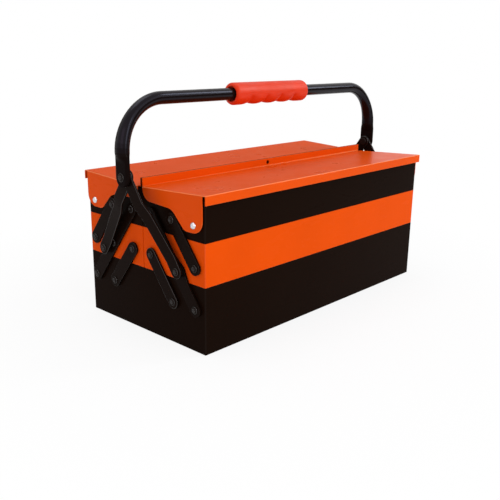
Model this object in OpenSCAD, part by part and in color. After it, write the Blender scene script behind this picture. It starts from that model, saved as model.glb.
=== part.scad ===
// Cantilever tool box: a bottom box, two middle trays and two lidded top trays,
// carried at both ends by parallel links and opened by one bail handle.
// X runs along the box, -Y is the front and Z is up. The origin is under the middle of the box.

/* [Box and trays] */
// Length of the bottom box and of every tray
box_length = 400; // [360:5:500]
// Depth of the bottom box, front wall to rear wall
box_depth = 198; // [192:2:230]
// Height of the bottom box
base_height = 74; // [66:1:90]
// Height of each middle tray
middle_height = 46.5; // [45:0.5:52]
// Height of each top tray
top_height = 42; // [40:0.5:52]
// Thickness of the sheet steel
sheet = 0.8; // [0.6:0.1:1.1]
// Depth of the hem folded down inside each rim
hem_depth = 6; // [4:0.5:8]
// Thickness of the hemmed rim
hem_thickness = 1.8; // [1.6:0.1:2.4]
// Gap between a rim and the floor stacked on it
stack_gap = 0.3; // [0.2:0.1:0.6]
// Gap between the two trays of a pair
centre_gap = 0.7; // [0.4:0.1:1.2]

/* [Lids] */
// Height of a lid's outer top edge above the rim of its tray
lid_rise = 7.4; // [6.4:0.2:9]
// Fall of a lid's top face from its outer edge to its inner edge
lid_fall = 4.8; // [0:0.2:5]
// Gap between the flanges of the two lids
lid_gap = 2.4; // [0.8:0.2:3]
// Gap between a tray's end wall and the lid's end flap
flap_gap = 1.7; // [1.4:0.1:2]
// Gap between a tray's long wall and the lid's skirt
skirt_gap = 2.7; // [2.5:0.1:4]
// Depth of the skirt along a lid's outer edge
skirt_depth = 10; // [8:0.5:10.5]
// Height of the flange standing up along a lid's inner edge
flange_height = 9; // [7.5:0.5:12]
// Distance from a tray's long wall to the lid's hinge rivet
hinge_inset = 14.7; // [14:0.1:16]
// Distance from a top tray's rim down to the lid's hinge rivet
hinge_drop = 25.4; // [24:0.2:27]
// Distance from the hinge rivet down to the bottom of the flap's lobe
lobe_drop = 7.8; // [7:0.1:12]
// Height of the flap's straight lower edge above the head of the main link
flap_over_link = 3.8; // [2:0.2:6]
// Clearance between the flap's sloping edge and the head of the upper link
flap_clearance = 0.8; // [0.6:0.1:2]
// How much lower the flap's edge is above the links than at the notch
flap_edge_fall = 2.6; // [0:0.2:4]
// Radius of the flap's lobe at the outer corner
lobe_radius = 14; // [12:1:16]
// Radius of the flap's edge above its slope
slope_round = 16; // [10:1:18]
// Radius of the flap's edge below its slope
foot_round = 9; // [6:1:10]
// Largest radius of the notch between the two flaps of an end
notch_round = 18; // [8:1:20]
// Distance from the centre plane to a flap's inner edge
flap_inset = 4.4; // [3:0.2:6]
// Width of the slit between a flap and the skirt
corner_slit = 4.1; // [1.5:0.1:5]
// Diameter of the padlock hole through both flanges
padlock_d = 5; // [4:0.5:6]

/* [Links] */
// Distance from a long wall to the outer link pivots
pivot_inset = 13; // [12:0.5:15]
// Distance from the bottom box's rim down to the lowest pivots
pivot_drop = 26; // [24:0.5:28]
// Distance that a link reaches towards the centre from one pivot to the next
link_reach = 35; // [33:0.5:36]
// Height that a link climbs from one pivot to the next
link_climb = 45; // [44:0.5:47]
// Width of every link
link_width = 15; // [13:0.5:16]
// Thickness of every link
link_thickness = 2.2; // [1.8:0.1:2.6]
// Distance from the main link's lowest pivot along the link to its ear
ear_along = 43.7; // [40:0.5:46]
// Distance from the main link's centre line out to its ear
ear_offset = 4.9; // [4:0.1:6]
// Width of the ear
ear_width = 13.5; // [12:0.5:15]
// Length over which the ear blends into the link, each way
ear_blend = 17.5; // [14:0.5:20]
// Distance down the handle link from its top pivot to its step
step_start = 34; // [28:1:38]
// Length of the step in the handle link
step_run = 14; // [10:1:18]
// Distance that the step brings the handle link in towards the box
step_depth = 4.5; // [3:0.1:5]
// Length of the flat foot at the lower end of the handle link
foot_length = 14; // [10:1:18]

/* [Rivets] */
// Diameter of every link rivet's shank
shank_d = 5; // [4:0.1:5.4]
// Diameter of the link rivets' heads
head_d = 8.4; // [7:0.2:9]
// Height of the link rivets' heads
head_height = 1.7; // [1.2:0.1:2]
// Diameter of the shoulder that holds a link off the wall
shoulder_d = 9; // [8:0.2:10]
// Thickness of that shoulder
shoulder_height = 0.9; // [0.6:0.1:1.2]
// Diameter of the rivet tails inside the walls
tail_d = 8; // [7:0.2:9]
// Thickness of the rivet tails
tail_height = 1; // [0.6:0.1:1.4]
// Diameter of the bright domed heads on the lids' hinge rivets
lid_head_d = 7.4; // [7:0.2:9]
// Height of the bright domed heads
lid_head_height = 2; // [1.4:0.1:2.4]
// Radial clearance between a shank and its hole
shank_clearance = 0.05; // [0.02:0.01:0.1]
// Play beside each piece that turns on a rivet
side_play = 0.1; // [0.05:0.05:0.2]
// Diameter of the studs between the main links and the handle links
stud_d = 11; // [9:0.5:13]

/* [Handle] */
// Height of the crossbar's centre line above the lids
handle_rise = 86.5; // [84:0.5:120]
// Distance from an end wall out to the centre line of the handle's leg
handle_standoff = 23.5; // [22.5:0.5:30]
// Centre line radius of the handle's bends
handle_bend = 53; // [36:1:60]
// Diameter of the handle tube
tube_d = 14; // [12:0.5:16]
// Wall thickness of the handle tube
tube_wall = 1.2; // [1:0.1:1.6]
// Width of the flattened lower ends of the tube
flat_width = 21; // [18:0.5:23]
// Thickness of the flattened lower ends
flat_thickness = 5.6; // [4.6:0.2:6.4]
// Height of the handle's rivets above the lids
rivet_rise = 7.5; // [7:0.5:12]
// Length of the flattened end above its rivet
flat_above = 14; // [11:1:18]
// Diameter of the handle rivets' shanks
handle_shank_d = 6; // [5:0.2:7]
// Diameter of the handle rivets' heads
handle_head_d = 9.6; // [8:0.2:11]

/* [Grip] */
// Length of the soft grip
grip_length = 130; // [120:2:160]
// Diameter of the soft grip
grip_d = 26; // [24:0.5:32]
// Depth of the finger hollows under the grip
finger_depth = 2.2; // [1.5:0.1:3.5]
// Width of each finger hollow
finger_width = 18; // [12:1:22]
// Number of finger lobes
finger_count = 5; // [4:1:6]
// Diameter of the grip's open mouth at each end
mouth_d = 16.5; // [15.5:0.5:18.5]
// Depth of the open mouth
mouth_depth = 4; // [3:0.5:10]
// Radius of the grip's rounded ends
grip_round = 3.5; // [1:0.5:3.5]

/* [Hidden] */
$fn = 48;
BLACK = "#1d1512";
ORANGE = "#ea5210";
BRIGHT = "#d9dadd";
GRIP = "#f2442a";

half_length = box_length / 2;
half_depth = box_depth / 2;

// Heights of floors, rims and lids
middle_floor = base_height + stack_gap;
middle_rim = middle_floor + middle_height;
top_floor = middle_rim + stack_gap;
top_rim = top_floor + top_height;
lid_top = top_rim + lid_rise;
lid_inner = lid_top - lid_fall;

// Link pivots, as distances from the centre plane and heights
outer_y = half_depth - pivot_inset;
middle_y = outer_y - link_reach;
inner_y = middle_y - link_reach;
low_z = base_height - pivot_drop;
middle_z = low_z + link_climb;
high_z = middle_z + link_climb;
link_length = norm([link_reach, link_climb]);
link_lean = atan2(link_reach, link_climb);
BASE_PIVOTS = [[outer_y, low_z], [middle_y, low_z]];
MIDDLE_PIVOTS = [[middle_y, middle_z], [inner_y, middle_z], [outer_y, middle_z]];
TOP_PIVOTS = [[inner_y, high_z], [middle_y, high_z]];
HINGE = [half_depth - hinge_inset, top_rim - hinge_drop];

// Ear of the main link, and the handle link that runs from it to the handle
EAR = [
    outer_y - ear_along * sin(link_lean) + ear_offset * cos(link_lean),
    low_z + ear_along * cos(link_lean) + ear_offset * sin(link_lean)
];
handle_pivot_z = lid_top + rivet_rise;
handle_link_length = norm([EAR[0], handle_pivot_z - EAR[1]]);
handle_link_lean = atan2(EAR[0], handle_pivot_z - EAR[1]);

// Layers, measured outwards from the end walls
link_in = shoulder_height + side_play;
link_out = link_in + link_thickness;
head_in = link_out + side_play;
foot_gap = 1.3;
foot_in = head_in + head_height + foot_gap;
open_gap = 0.3;
leg_in = handle_standoff - flat_thickness / 2;
leg_out = handle_standoff + flat_thickness / 2;
front_link_in = leg_in - open_gap - link_thickness;
rear_link_in = front_link_in - open_gap - link_thickness;
flap_out = flap_gap + sheet;

// Lid outlines in Y and Z, with the radius at each of the flap's corners
lid_out_x = half_length + flap_out;
lid_in_y = lid_gap / 2;
lid_out_y = half_depth + skirt_gap + sheet;
function lid_z(y) = lid_inner + lid_fall * (y - lid_in_y) / (lid_out_y - lid_in_y);
LID = [
    [lid_in_y, lid_inner], [lid_out_y, lid_top],
    [lid_out_y, lid_top - skirt_depth], [lid_out_y - sheet, lid_top - skirt_depth],
    [lid_out_y - sheet, lid_z(lid_out_y - sheet) - sheet], [lid_in_y, lid_inner - sheet]
];
flap_outer_y = half_depth + skirt_gap - corner_slit;
flap_edge_z = high_z + link_width / 2 + flap_over_link;
lobe_z = HINGE[1] - lobe_drop;
slope_sum = middle_y + high_z + (link_width / 2 + flap_clearance) * sqrt(2);
notch_z = flap_edge_z + flap_edge_fall;
notch_radius = min(notch_round, lid_inner - sheet - notch_z);
FLAP = [
    [flap_inset, lid_z(flap_inset) - sheet / 2, 0],
    [flap_inset, notch_z, notch_radius],
    [slope_sum - flap_edge_z, flap_edge_z, slope_round],
    [slope_sum - lobe_z, lobe_z, foot_round],
    [flap_outer_y, lobe_z, lobe_radius],
    [flap_outer_y, lid_z(flap_outer_y) - sheet / 2, 0]
];

// Handle heights
crossbar_z = lid_top + handle_rise;
bend_z = crossbar_z - handle_bend;
flat_top_z = handle_pivot_z + flat_above;
leg_x = half_length + handle_standoff;
bend_x = leg_x - handle_bend;
bore_d = tube_d - 2 * tube_wall;
flat_bore = flat_thickness - 2 * tube_wall;
neck_lap = 1;
neck_inset = 0.04;

// How far a cut runs past what it cuts
cut_over = 1;

// Corner of an outline: points along the arc that rounds p between its neighbours a and b
function unit(v) = v / norm(v);
function turn(a) = a > 180 ? a - 360 : a < -180 ? a + 360 : a;
function corner(a, p, b, r) =
    r == 0 ? [p] :
    let (
        u = unit(a - p),
        v = unit(b - p),
        half_angle = acos(u * v) / 2,
        start = p + u * r / tan(half_angle),
        finish = p + v * r / tan(half_angle),
        centre = p + unit(u + v) * r / sin(half_angle),
        first = atan2(start[1] - centre[1], start[0] - centre[0]),
        last = atan2(finish[1] - centre[1], finish[0] - centre[0]),
        sweep = turn(last - first),
        steps = ceil(abs(sweep) / 7.5)
    )
    [for (i = [0:steps]) centre + r * [cos(first + sweep * i / steps), sin(first + sweep * i / steps)]];
function flat_point(p) = [p[0], p[1]];
function rounded(points) =
    let (n = len(points))
    [for (i = [0:n - 1])
        each corner(flat_point(points[(i + n - 1) % n]), flat_point(points[i]),
                    flat_point(points[(i + 1) % n]), points[i][2])];

// Children are drawn at the rear right corner and moved to the end and side asked for
module at_end(end) {
    if (end < 0) mirror([1, 0, 0]) children();
    else children();
}
module at_side(side) {
    if (side < 0) mirror([0, 1, 0]) children();
    else children();
}
module at_corner(end, side) {
    at_end(end) at_side(side) translate([half_length, 0, 0]) children();
}
module along_x(from, to, d) {
    translate([from, 0, 0]) rotate([0, 90, 0]) cylinder(d = d, h = to - from);
}
// A shape in Y and Z, extruded along X
module plate(from, to) {
    translate([from, 0, 0]) rotate([90, 0, 90]) linear_extrude(to - from) children();
}
// A body turned about the X axis, from [distance along X, radius] points
module turned(points) {
    rotate([0, 90, 0]) rotate_extrude() polygon([for (p = points) [p[1], p[0]]]);
}

// Holes through both end walls
module end_holes(pivots, d) {
    for (p = pivots)
        translate([0, p[0], p[1]])
            along_x(-half_length - cut_over, half_length + cut_over, d);
}
// Open box with a hemmed rim, from one long wall to the other
module open_box(y_from, y_to, floor_z, height) {
    translate([-half_length, y_from, floor_z])
        difference() {
            cube([box_length, y_to - y_from, height]);
            translate([sheet, sheet, sheet])
                cube([box_length - 2 * sheet, y_to - y_from - 2 * sheet, height - sheet - hem_depth]);
            translate([hem_thickness, hem_thickness, sheet])
                cube([box_length - 2 * hem_thickness, y_to - y_from - 2 * hem_thickness, height]);
        }
}
module tray(side, floor_z, height, holes) {
    at_side(side)
        difference() {
            open_box(centre_gap / 2, half_depth, floor_z, height);
            end_holes(holes, shank_d);
        }
}
module lid(side) {
    at_side(side)
        difference() {
            union() {
                plate(-lid_out_x, lid_out_x) polygon(LID);
                translate([-half_length, lid_in_y, lid_inner - sheet / 2])
                    cube([box_length, sheet, flange_height + sheet / 2]);
                for (end = [-1, 1])
                    at_end(end) plate(half_length + flap_gap, lid_out_x) polygon(rounded(FLAP));
            }
            for (end = [-1, 1])
                at_end(end) translate([half_length, 0, lid_inner - sheet - cut_over])
                    cube([flap_out + cut_over, flap_inset, sheet + flange_height]);
            translate([0, HINGE[0], HINGE[1]])
                along_x(-lid_out_x - cut_over, lid_out_x + cut_over, shank_d);
            translate([0, 0, lid_inner + flange_height / 2])
                rotate([-90, 0, 0]) cylinder(d = padlock_d, h = lid_in_y + sheet + cut_over);
        }
}

// Profile of a hollow rivet head that stands on x, from its rim in to its axis
function hollow_head(x, d, height) =
    let (
        ledge = x + height * 0.4,
        crown_r = d * 0.32,
        pit_r = d * 0.2,
        pit_floor_r = d * 0.13
    )
    [
        [x, d / 2], [ledge, d / 2], [x + height, crown_r],
        [x + height, pit_r], [ledge, pit_floor_r], [ledge, 0]
    ];
// Profile of a domed head that stands on x
function dome_head(x, d, height) = [
    for (a = [0:15:90]) [x + height * sin(a), d / 2 * cos(a)]
];
// Rivet through an end wall, with a shoulder, a journal for a turning piece and a head
module wall_rivet(shoulder, journal_end, head) {
    shank = shank_d / 2 - shank_clearance;
    turned(concat(
        [
            [-sheet - tail_height, 0], [-sheet - tail_height, tail_d / 2], [-sheet, tail_d / 2],
            [-sheet, shank], [0, shank],
            [0, shoulder_d / 2], [shoulder, shoulder_d / 2],
            [shoulder, shank], [journal_end, shank]
        ],
        head
    ));
}
module link_rivets(side, pivots) {
    color(BLACK)
        for (end = [-1, 1], p = pivots)
            at_corner(end, side) translate([0, p[0], p[1]])
                wall_rivet(shoulder_height, head_in, hollow_head(head_in, head_d, head_height));
}
module hinge_rivets(side) {
    dome_in = flap_out + side_play;
    color(BRIGHT)
        for (end = [-1, 1])
            at_corner(end, side) translate([0, HINGE[0], HINGE[1]])
                wall_rivet(flap_gap - side_play, dome_in, dome_head(dome_in, lid_head_d, lid_head_height));
}

// Bar with round ends, in Y and Z, rising from its lowest pivot
module bar_outline(length) {
    circle(d = link_width);
    translate([0, length]) circle(d = link_width);
    translate([-link_width / 2, 0]) square([link_width, length]);
}
// A flat link, leaning in towards the centre, with a hole at each pivot
module flat_link(pivot, length, holes) {
    translate([0, pivot[0], pivot[1]]) rotate([link_lean, 0, 0])
        difference() {
            plate(link_in, link_out) {
                bar_outline(length);
                children();
            }
            for (h = holes)
                translate([0, h[0], h[1]]) along_x(0, link_out + cut_over, shank_d);
        }
}
// Main link with an ear on its outer side for the handle link's stud
module main_link(end, side) {
    corner_angle = 26;
    corner_x = ear_offset + ear_width / 2 * cos(corner_angle);
    corner_y = ear_width / 2 * sin(corner_angle);
    color(BLACK) at_corner(end, side)
        flat_link([outer_y, low_z], 2 * link_length,
                  [[0, 0], [0, link_length], [0, 2 * link_length], [ear_offset, ear_along]]) {
            translate([ear_offset, ear_along]) circle(d = ear_width);
            polygon([
                [0, ear_along - ear_blend], [link_width / 2, ear_along - ear_blend],
                [corner_x, ear_along - corner_y], [corner_x, ear_along + corner_y],
                [link_width / 2, ear_along + ear_blend], [0, ear_along + ear_blend]
            ]);
        }
}
module short_link(end, side, pivot) {
    color(BLACK) at_corner(end, side) flat_link(pivot, link_length, [[0, 0], [0, link_length]]);
}
// Stud seated in the main link's ear, ending just short of the handle link
module link_studs(side) {
    shank = shank_d / 2 - shank_clearance;
    color(BLACK)
        for (end = [-1, 1])
            at_corner(end, side) translate([0, EAR[0], EAR[1]])
                turned([
                    [link_in, 0], [link_in, shank], [link_out, shank],
                    [link_out, stud_d / 2], [foot_in - open_gap, stud_d / 2], [foot_in - open_gap, 0]
                ]);
}

// Handle link, hanging from the handle's rivet, stepped in towards the box
module handle_link(end, side, top_in) {
    step_in = top_in - step_depth;
    foot_start = handle_link_length - foot_length;
    faces = [
        [top_in, link_width], [top_in, -step_start], [step_in, -step_start - step_run],
        [foot_in, -foot_start], [foot_in, -handle_link_length - link_width]
    ];
    section = concat(faces, [for (i = [len(faces) - 1:-1:0]) faces[i] + [link_thickness, 0]]);
    color(BLACK) at_corner(end, side)
        translate([0, 0, handle_pivot_z]) rotate([handle_link_lean, 0, 0])
            difference() {
                intersection() {
                    rotate([90, 0, 0]) linear_extrude(2 * link_width, center = true) polygon(section);
                    translate([0, 0, -handle_link_length])
                        plate(0, handle_standoff) bar_outline(handle_link_length);
                }
                along_x(0, handle_standoff, handle_shank_d);
                translate([0, 0, -handle_link_length]) along_x(0, handle_standoff, shank_d);
            }
}
module handle_link_rivets(side) {
    shank = shank_d / 2 - shank_clearance;
    foot_out = foot_in + link_thickness;
    color(BLACK)
        for (end = [-1, 1])
            at_corner(end, side) translate([0, EAR[0], EAR[1]])
                turned(concat([[foot_in, 0], [foot_in, shank], [foot_out, shank]],
                              hollow_head(foot_out, head_d, head_height)));
}

// Flattened tube section in X and Y
module flat_section(width, thickness) {
    for (s = [-1, 1])
        translate([0, s * (width - thickness) / 2]) circle(d = thickness);
    square([thickness, width - thickness], center = true);
}
// One leg from the end of the bend down to its flat end, with a neck between them
module leg(round_d, width, thickness, below) {
    straight = [0, 0, bend_z - neck_lap];
    neck_d = round_d - 2 * neck_inset;
    translate(straight) cylinder(d = round_d, h = neck_lap);
    hull() {
        translate(straight + [0, 0, neck_lap / 2]) cylinder(d = neck_d, h = 0.01, $fn = 32);
        translate([0, 0, flat_top_z]) linear_extrude(0.01)
            flat_section(width - 2 * neck_inset, thickness - 2 * neck_inset, $fn = 32);
    }
    translate([0, 0, handle_pivot_z - below])
        linear_extrude(flat_above + below + neck_lap / 2) flat_section(width, thickness);
}
module tube_run(d) {
    translate([0, 0, crossbar_z]) along_x(-bend_x, bend_x, d);
    for (end = [-1, 1])
        at_end(end) translate([bend_x, 0, bend_z])
            rotate([90, 0, 0]) rotate_extrude(angle = 90) translate([handle_bend, 0]) circle(d = d);
}
module handle_tube() {
    color(BLACK)
        difference() {
            union() {
                tube_run(tube_d);
                for (end = [-1, 1])
                    at_end(end) translate([leg_x, 0, 0])
                        intersection() {
                            leg(tube_d, flat_width, flat_thickness, flat_width / 2);
                            union() {
                                translate([-tube_d, -flat_width, handle_pivot_z])
                                    cube([2 * tube_d, 2 * flat_width, crossbar_z]);
                                translate([0, 0, handle_pivot_z]) along_x(-tube_d, tube_d, flat_width);
                            }
                        }
            }
            tube_run(bore_d);
            for (end = [-1, 1])
                at_end(end) {
                    translate([leg_x, 0, 0])
                        leg(bore_d, flat_width - 2 * tube_wall, flat_bore, flat_width);
                    translate([leg_x, 0, handle_pivot_z]) along_x(-tube_d, tube_d, handle_shank_d);
                }
        }
}
module handle_rivets() {
    shank = handle_shank_d / 2 - shank_clearance;
    tail_in = rear_link_in - side_play;
    color(BLACK)
        for (end = [-1, 1])
            at_corner(end, 1) translate([0, 0, handle_pivot_z])
                turned(concat(
                    [
                        [tail_in - head_height, 0], [tail_in - head_height, handle_head_d / 2],
                        [tail_in, handle_head_d / 2], [tail_in, shank], [leg_out, shank]
                    ],
                    hollow_head(leg_out, handle_head_d, head_height)
                ));
}
// Soft grip with finger hollows underneath and an open mouth at each end
module handle_grip() {
    pitch = grip_length / finger_count;
    hollow_r = (finger_width * finger_width / 4 + finger_depth * finger_depth) / (2 * finger_depth);
    half_grip = grip_length / 2;
    bore = tube_d / 2 + shank_clearance;
    chamfer = grip_round * (1 - sqrt(0.5));
    color(GRIP) translate([0, 0, crossbar_z])
        difference() {
            turned([
                [-half_grip, mouth_d / 2], [-half_grip, grip_d / 2 - grip_round],
                [-half_grip + chamfer, grip_d / 2 - chamfer],
                [-half_grip + grip_round, grip_d / 2], [half_grip - grip_round, grip_d / 2],
                [half_grip - chamfer, grip_d / 2 - chamfer],
                [half_grip, grip_d / 2 - grip_round], [half_grip, mouth_d / 2],
                [half_grip - mouth_depth, mouth_d / 2], [half_grip - mouth_depth, bore],
                [-half_grip + mouth_depth, bore], [-half_grip + mouth_depth, mouth_d / 2]
            ]);
            for (i = [1:finger_count - 1])
                translate([-half_grip + i * pitch, 0, finger_depth - grip_d / 2 - hollow_r])
                    rotate([90, 0, 0]) cylinder(r = hollow_r, h = grip_d + 2, center = true);
        }
}

module bottom_box() {
    color(BLACK)
        difference() {
            open_box(-half_depth, half_depth, 0, base_height);
            for (side = [-1, 1])
                at_side(side) end_holes(BASE_PIVOTS, shank_d);
        }
}
module box_rivets() {
    link_rivets(-1, BASE_PIVOTS);
    link_rivets(1, BASE_PIVOTS);
}
module front_middle_tray() {
    color(ORANGE) tray(-1, middle_floor, middle_height, MIDDLE_PIVOTS);
}
module rear_middle_tray() {
    color(ORANGE) tray(1, middle_floor, middle_height, MIDDLE_PIVOTS);
}
module front_middle_tray_rivets() { link_rivets(-1, MIDDLE_PIVOTS); }
module rear_middle_tray_rivets() { link_rivets(1, MIDDLE_PIVOTS); }
module front_top_tray() {
    color(BLACK) tray(-1, top_floor, top_height, concat(TOP_PIVOTS, [HINGE]));
}
module rear_top_tray() {
    color(BLACK) tray(1, top_floor, top_height, concat(TOP_PIVOTS, [HINGE]));
}
module front_top_tray_rivets() { link_rivets(-1, TOP_PIVOTS); }
module rear_top_tray_rivets() { link_rivets(1, TOP_PIVOTS); }
module front_lid_rivets() { hinge_rivets(-1); }
module rear_lid_rivets() { hinge_rivets(1); }
module front_lid() { color(ORANGE) lid(-1); }
module rear_lid() { color(ORANGE) lid(1); }
module front_left_main_link() { main_link(-1, -1); }
module front_right_main_link() { main_link(1, -1); }
module rear_left_main_link() { main_link(-1, 1); }
module rear_right_main_link() { main_link(1, 1); }
module front_link_studs() { link_studs(-1); }
module rear_link_studs() { link_studs(1); }
module front_left_lower_link() { short_link(-1, -1, [middle_y, low_z]); }
module front_right_lower_link() { short_link(1, -1, [middle_y, low_z]); }
module rear_left_lower_link() { short_link(-1, 1, [middle_y, low_z]); }
module rear_right_lower_link() { short_link(1, 1, [middle_y, low_z]); }
module front_left_upper_link() { short_link(-1, -1, [outer_y, middle_z]); }
module front_right_upper_link() { short_link(1, -1, [outer_y, middle_z]); }
module rear_left_upper_link() { short_link(-1, 1, [outer_y, middle_z]); }
module rear_right_upper_link() { short_link(1, 1, [outer_y, middle_z]); }
module front_left_handle_link() { handle_link(-1, -1, front_link_in); }
module front_right_handle_link() { handle_link(1, -1, front_link_in); }
module rear_left_handle_link() { handle_link(-1, 1, rear_link_in); }
module rear_right_handle_link() { handle_link(1, 1, rear_link_in); }
module front_handle_link_rivets() { handle_link_rivets(-1); }
module rear_handle_link_rivets() { handle_link_rivets(1); }

bottom_box();
box_rivets();
front_middle_tray();
front_middle_tray_rivets();
rear_middle_tray();
rear_middle_tray_rivets();
front_top_tray();
front_top_tray_rivets();
front_lid_rivets();
rear_top_tray();
rear_top_tray_rivets();
rear_lid_rivets();
front_lid();
rear_lid();
front_left_main_link();
front_right_main_link();
front_link_studs();
rear_left_main_link();
rear_right_main_link();
rear_link_studs();
front_left_lower_link();
front_right_lower_link();
rear_left_lower_link();
rear_right_lower_link();
front_left_upper_link();
front_right_upper_link();
rear_left_upper_link();
rear_right_upper_link();
front_left_handle_link();
front_right_handle_link();
front_handle_link_rivets();
rear_left_handle_link();
rear_right_handle_link();
rear_handle_link_rivets();
handle_tube();
handle_grip();
handle_rivets();
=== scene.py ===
import math

import bmesh
import bpy
from bpy.props import FloatProperty, FloatVectorProperty, IntProperty, PointerProperty
from mathutils import Matrix, Vector


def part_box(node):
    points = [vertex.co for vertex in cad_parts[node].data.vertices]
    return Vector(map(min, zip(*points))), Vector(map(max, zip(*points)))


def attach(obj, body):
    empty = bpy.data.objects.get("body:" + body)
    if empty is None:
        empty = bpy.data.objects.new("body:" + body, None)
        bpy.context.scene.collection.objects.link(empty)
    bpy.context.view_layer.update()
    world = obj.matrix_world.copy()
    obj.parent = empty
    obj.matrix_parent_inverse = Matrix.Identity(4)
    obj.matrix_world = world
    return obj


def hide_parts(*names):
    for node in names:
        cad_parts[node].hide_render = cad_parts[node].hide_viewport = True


bl_info = {
    "name": "Cantilever Tool Box",
    "version": (1, 0, 0),
    "blender": (4, 5, 0),
    "location": "View3D > Sidebar > Tool Box",
    "description": "Dresses a folding steel tool box in enamel, bright rivets and a soft grip",
    "category": "Object",
}

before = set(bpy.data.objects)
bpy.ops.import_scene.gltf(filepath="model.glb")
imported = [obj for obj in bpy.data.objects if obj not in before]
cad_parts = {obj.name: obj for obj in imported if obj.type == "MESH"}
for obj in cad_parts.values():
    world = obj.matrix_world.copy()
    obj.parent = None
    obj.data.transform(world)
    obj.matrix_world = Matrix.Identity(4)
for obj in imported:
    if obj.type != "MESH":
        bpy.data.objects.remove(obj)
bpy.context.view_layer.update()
MM = 0.001
QUARTER_TURN = math.radians(90)
WHITE = (1, 1, 1)
SIDES = ("front", "rear")
ENDS = ("left", "right")

# Places taken from the CAD model
TUBE_END_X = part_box("handle_tube")[1].x
GRIP_LOW, GRIP_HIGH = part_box("handle_grip")
RIVET_LOW, RIVET_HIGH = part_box("handle_rivets")
GROUND_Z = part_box("bottom_box")[0].z
CROSSBAR_Z = (GRIP_LOW.z + GRIP_HIGH.z) / 2
HANDLE_PIVOT_Z = (RIVET_LOW.z + RIVET_HIGH.z) / 2


# ---------------------------------------------------------------- settings

def distance(name, description, default, low=0.0001, high=1.0):
    return FloatProperty(
        name=name, description=description, default=default, min=low, max=high,
        subtype="DISTANCE", unit="LENGTH", precision=4,
    )


def paint_colour(name, description, default):
    return FloatVectorProperty(
        name=name, description=description, default=default, min=0, max=1, size=3, subtype="COLOR",
    )


def ratio(name, description, default, low=0, high=1):
    return FloatProperty(name=name, description=description, default=default, min=low, max=high)


def count(name, description, default, low, high):
    return IntProperty(name=name, description=description, default=default, min=low, max=high)


def turn(name, description, degrees):
    return FloatProperty(
        name=name, description=description, default=math.radians(degrees), subtype="ANGLE",
    )


class ToolBoxPaint(bpy.types.PropertyGroup):
    orange: paint_colour("Orange", "Enamel on the lids and middle trays", (0.775, 0.078, 0.002))
    # Painted highlight: a lighter orange on the rounded folds and cut edges, for the light lines
    # along them
    thin: paint_colour("Thin orange", "Orange enamel over folds and cut edges", (0.88, 0.2, 0.05))
    black: paint_colour("Black", "Enamel on the bottom box and top trays", (0.0085, 0.0036, 0.0018))
    steel: paint_colour("Link black", "Paint on the links", (0.008, 0.0035, 0.002))
    tube: paint_colour("Tube black", "Paint on the handle tube", (0.0065, 0.0035, 0.003))
    # Painted reflection colours: a bluish tint for the handle's highlights and a warm one for the
    # lids' and grip's
    tube_painted_cast: paint_colour("Tube gloss", "Cast of the handle's gloss", (0.68, 0.74, 1.0))
    warm_painted_cast: paint_colour("Warm gloss", "Cast of the lids' and grip's gloss", (1.0, 0.95, 0.7))
    rivet: paint_colour("Rivet black", "Paint on the link rivets", (0.01, 0.006, 0.0045))
    # Painted shade: the dark orange of the gap between the two lids, on the facing flange faces and
    # the padlock hole's wall
    seam: paint_colour("Seam", "Grimy enamel between the two lids", (0.19, 0.021, 0.002))
    bright: paint_colour("Bright", "Bare metal of the lid rivets", (0.7, 0.7, 0.72))
    grip: paint_colour("Grip", "Soft plastic of the grip", (0.71, 0.028, 0.0015))
    peel: ratio("Peel", "Depth of the enamel's fine waves", 0.05)
    wear: ratio("Wear", "How much dust and rubbing shows", 0.25)


class ToolBoxFolds(bpy.types.PropertyGroup):
    corner: distance("Corner", "Radius of the upright folds of the trays", 1.0 * MM)
    bottom: distance("Bottom", "Radius of the folds under the trays", 1.2 * MM)
    rim: distance("Rim", "Radius of the rolled rims", 0.75 * MM)
    lid: distance("Lid fold", "Radius of the folds round a lid's top", 0.7 * MM)
    crease: distance("Crease", "Radius of the crease under the standing flange", 1.3 * MM)
    edge: distance("Cut edge", "Rounding of the cut sheet edges", 0.34 * MM)
    link: distance("Link edge", "Rounding of the links' edges", 0.55 * MM)
    rivet: distance("Rivet edge", "Rounding of the rivets' heads", 0.3 * MM)
    steps: count("Steps", "Segments round each fold", 4, 1, 8)


class ToolBoxHandle(bpy.types.PropertyGroup):
    tube: distance("Tube", "Diameter of the tube", 14 * MM)
    bend: distance("Bend", "Centre line radius of the bends", 53 * MM)
    flat_width: distance("Flat width", "Width of the flattened ends", 21 * MM)
    flat_thickness: distance("Flat thickness", "Thickness of the flattened ends", 5.6 * MM)
    flat_above: distance("Flat above", "Flat length above the rivet", 14 * MM)
    swell: ratio("Swell", "How much wider than round the foot of the bend is", 0.3, high=0.5)
    swell_from: ratio("Swell from", "Share of the bend after which it widens", 0.35, high=0.9)
    early_width: ratio("Early width", "How much sooner the leg widens than it thins", 1.5, 1, 3)
    sides: count("Sides", "Facets round the tube", 40, 12, 96)


class ToolBoxGrip(bpy.types.PropertyGroup):
    lobes: count("Lobes", "Finger lobes under the grip", 5, 2, 8)
    depth: distance("Depth", "Depth of the creases between lobes", 2.4 * MM)
    sharpness: ratio("Sharpness", "How narrow the creases are", 2.2, 1, 10)
    mouth: distance("Mouth", "Diameter of the open mouth", 16.5 * MM)
    mouth_depth: distance("Mouth depth", "Depth of the open mouth", 4 * MM)
    round_end: distance("Rounded end", "Radius of the grip's ends", 3.5 * MM)
    sides: count("Sides", "Facets round the grip", 64, 16, 128)


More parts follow.
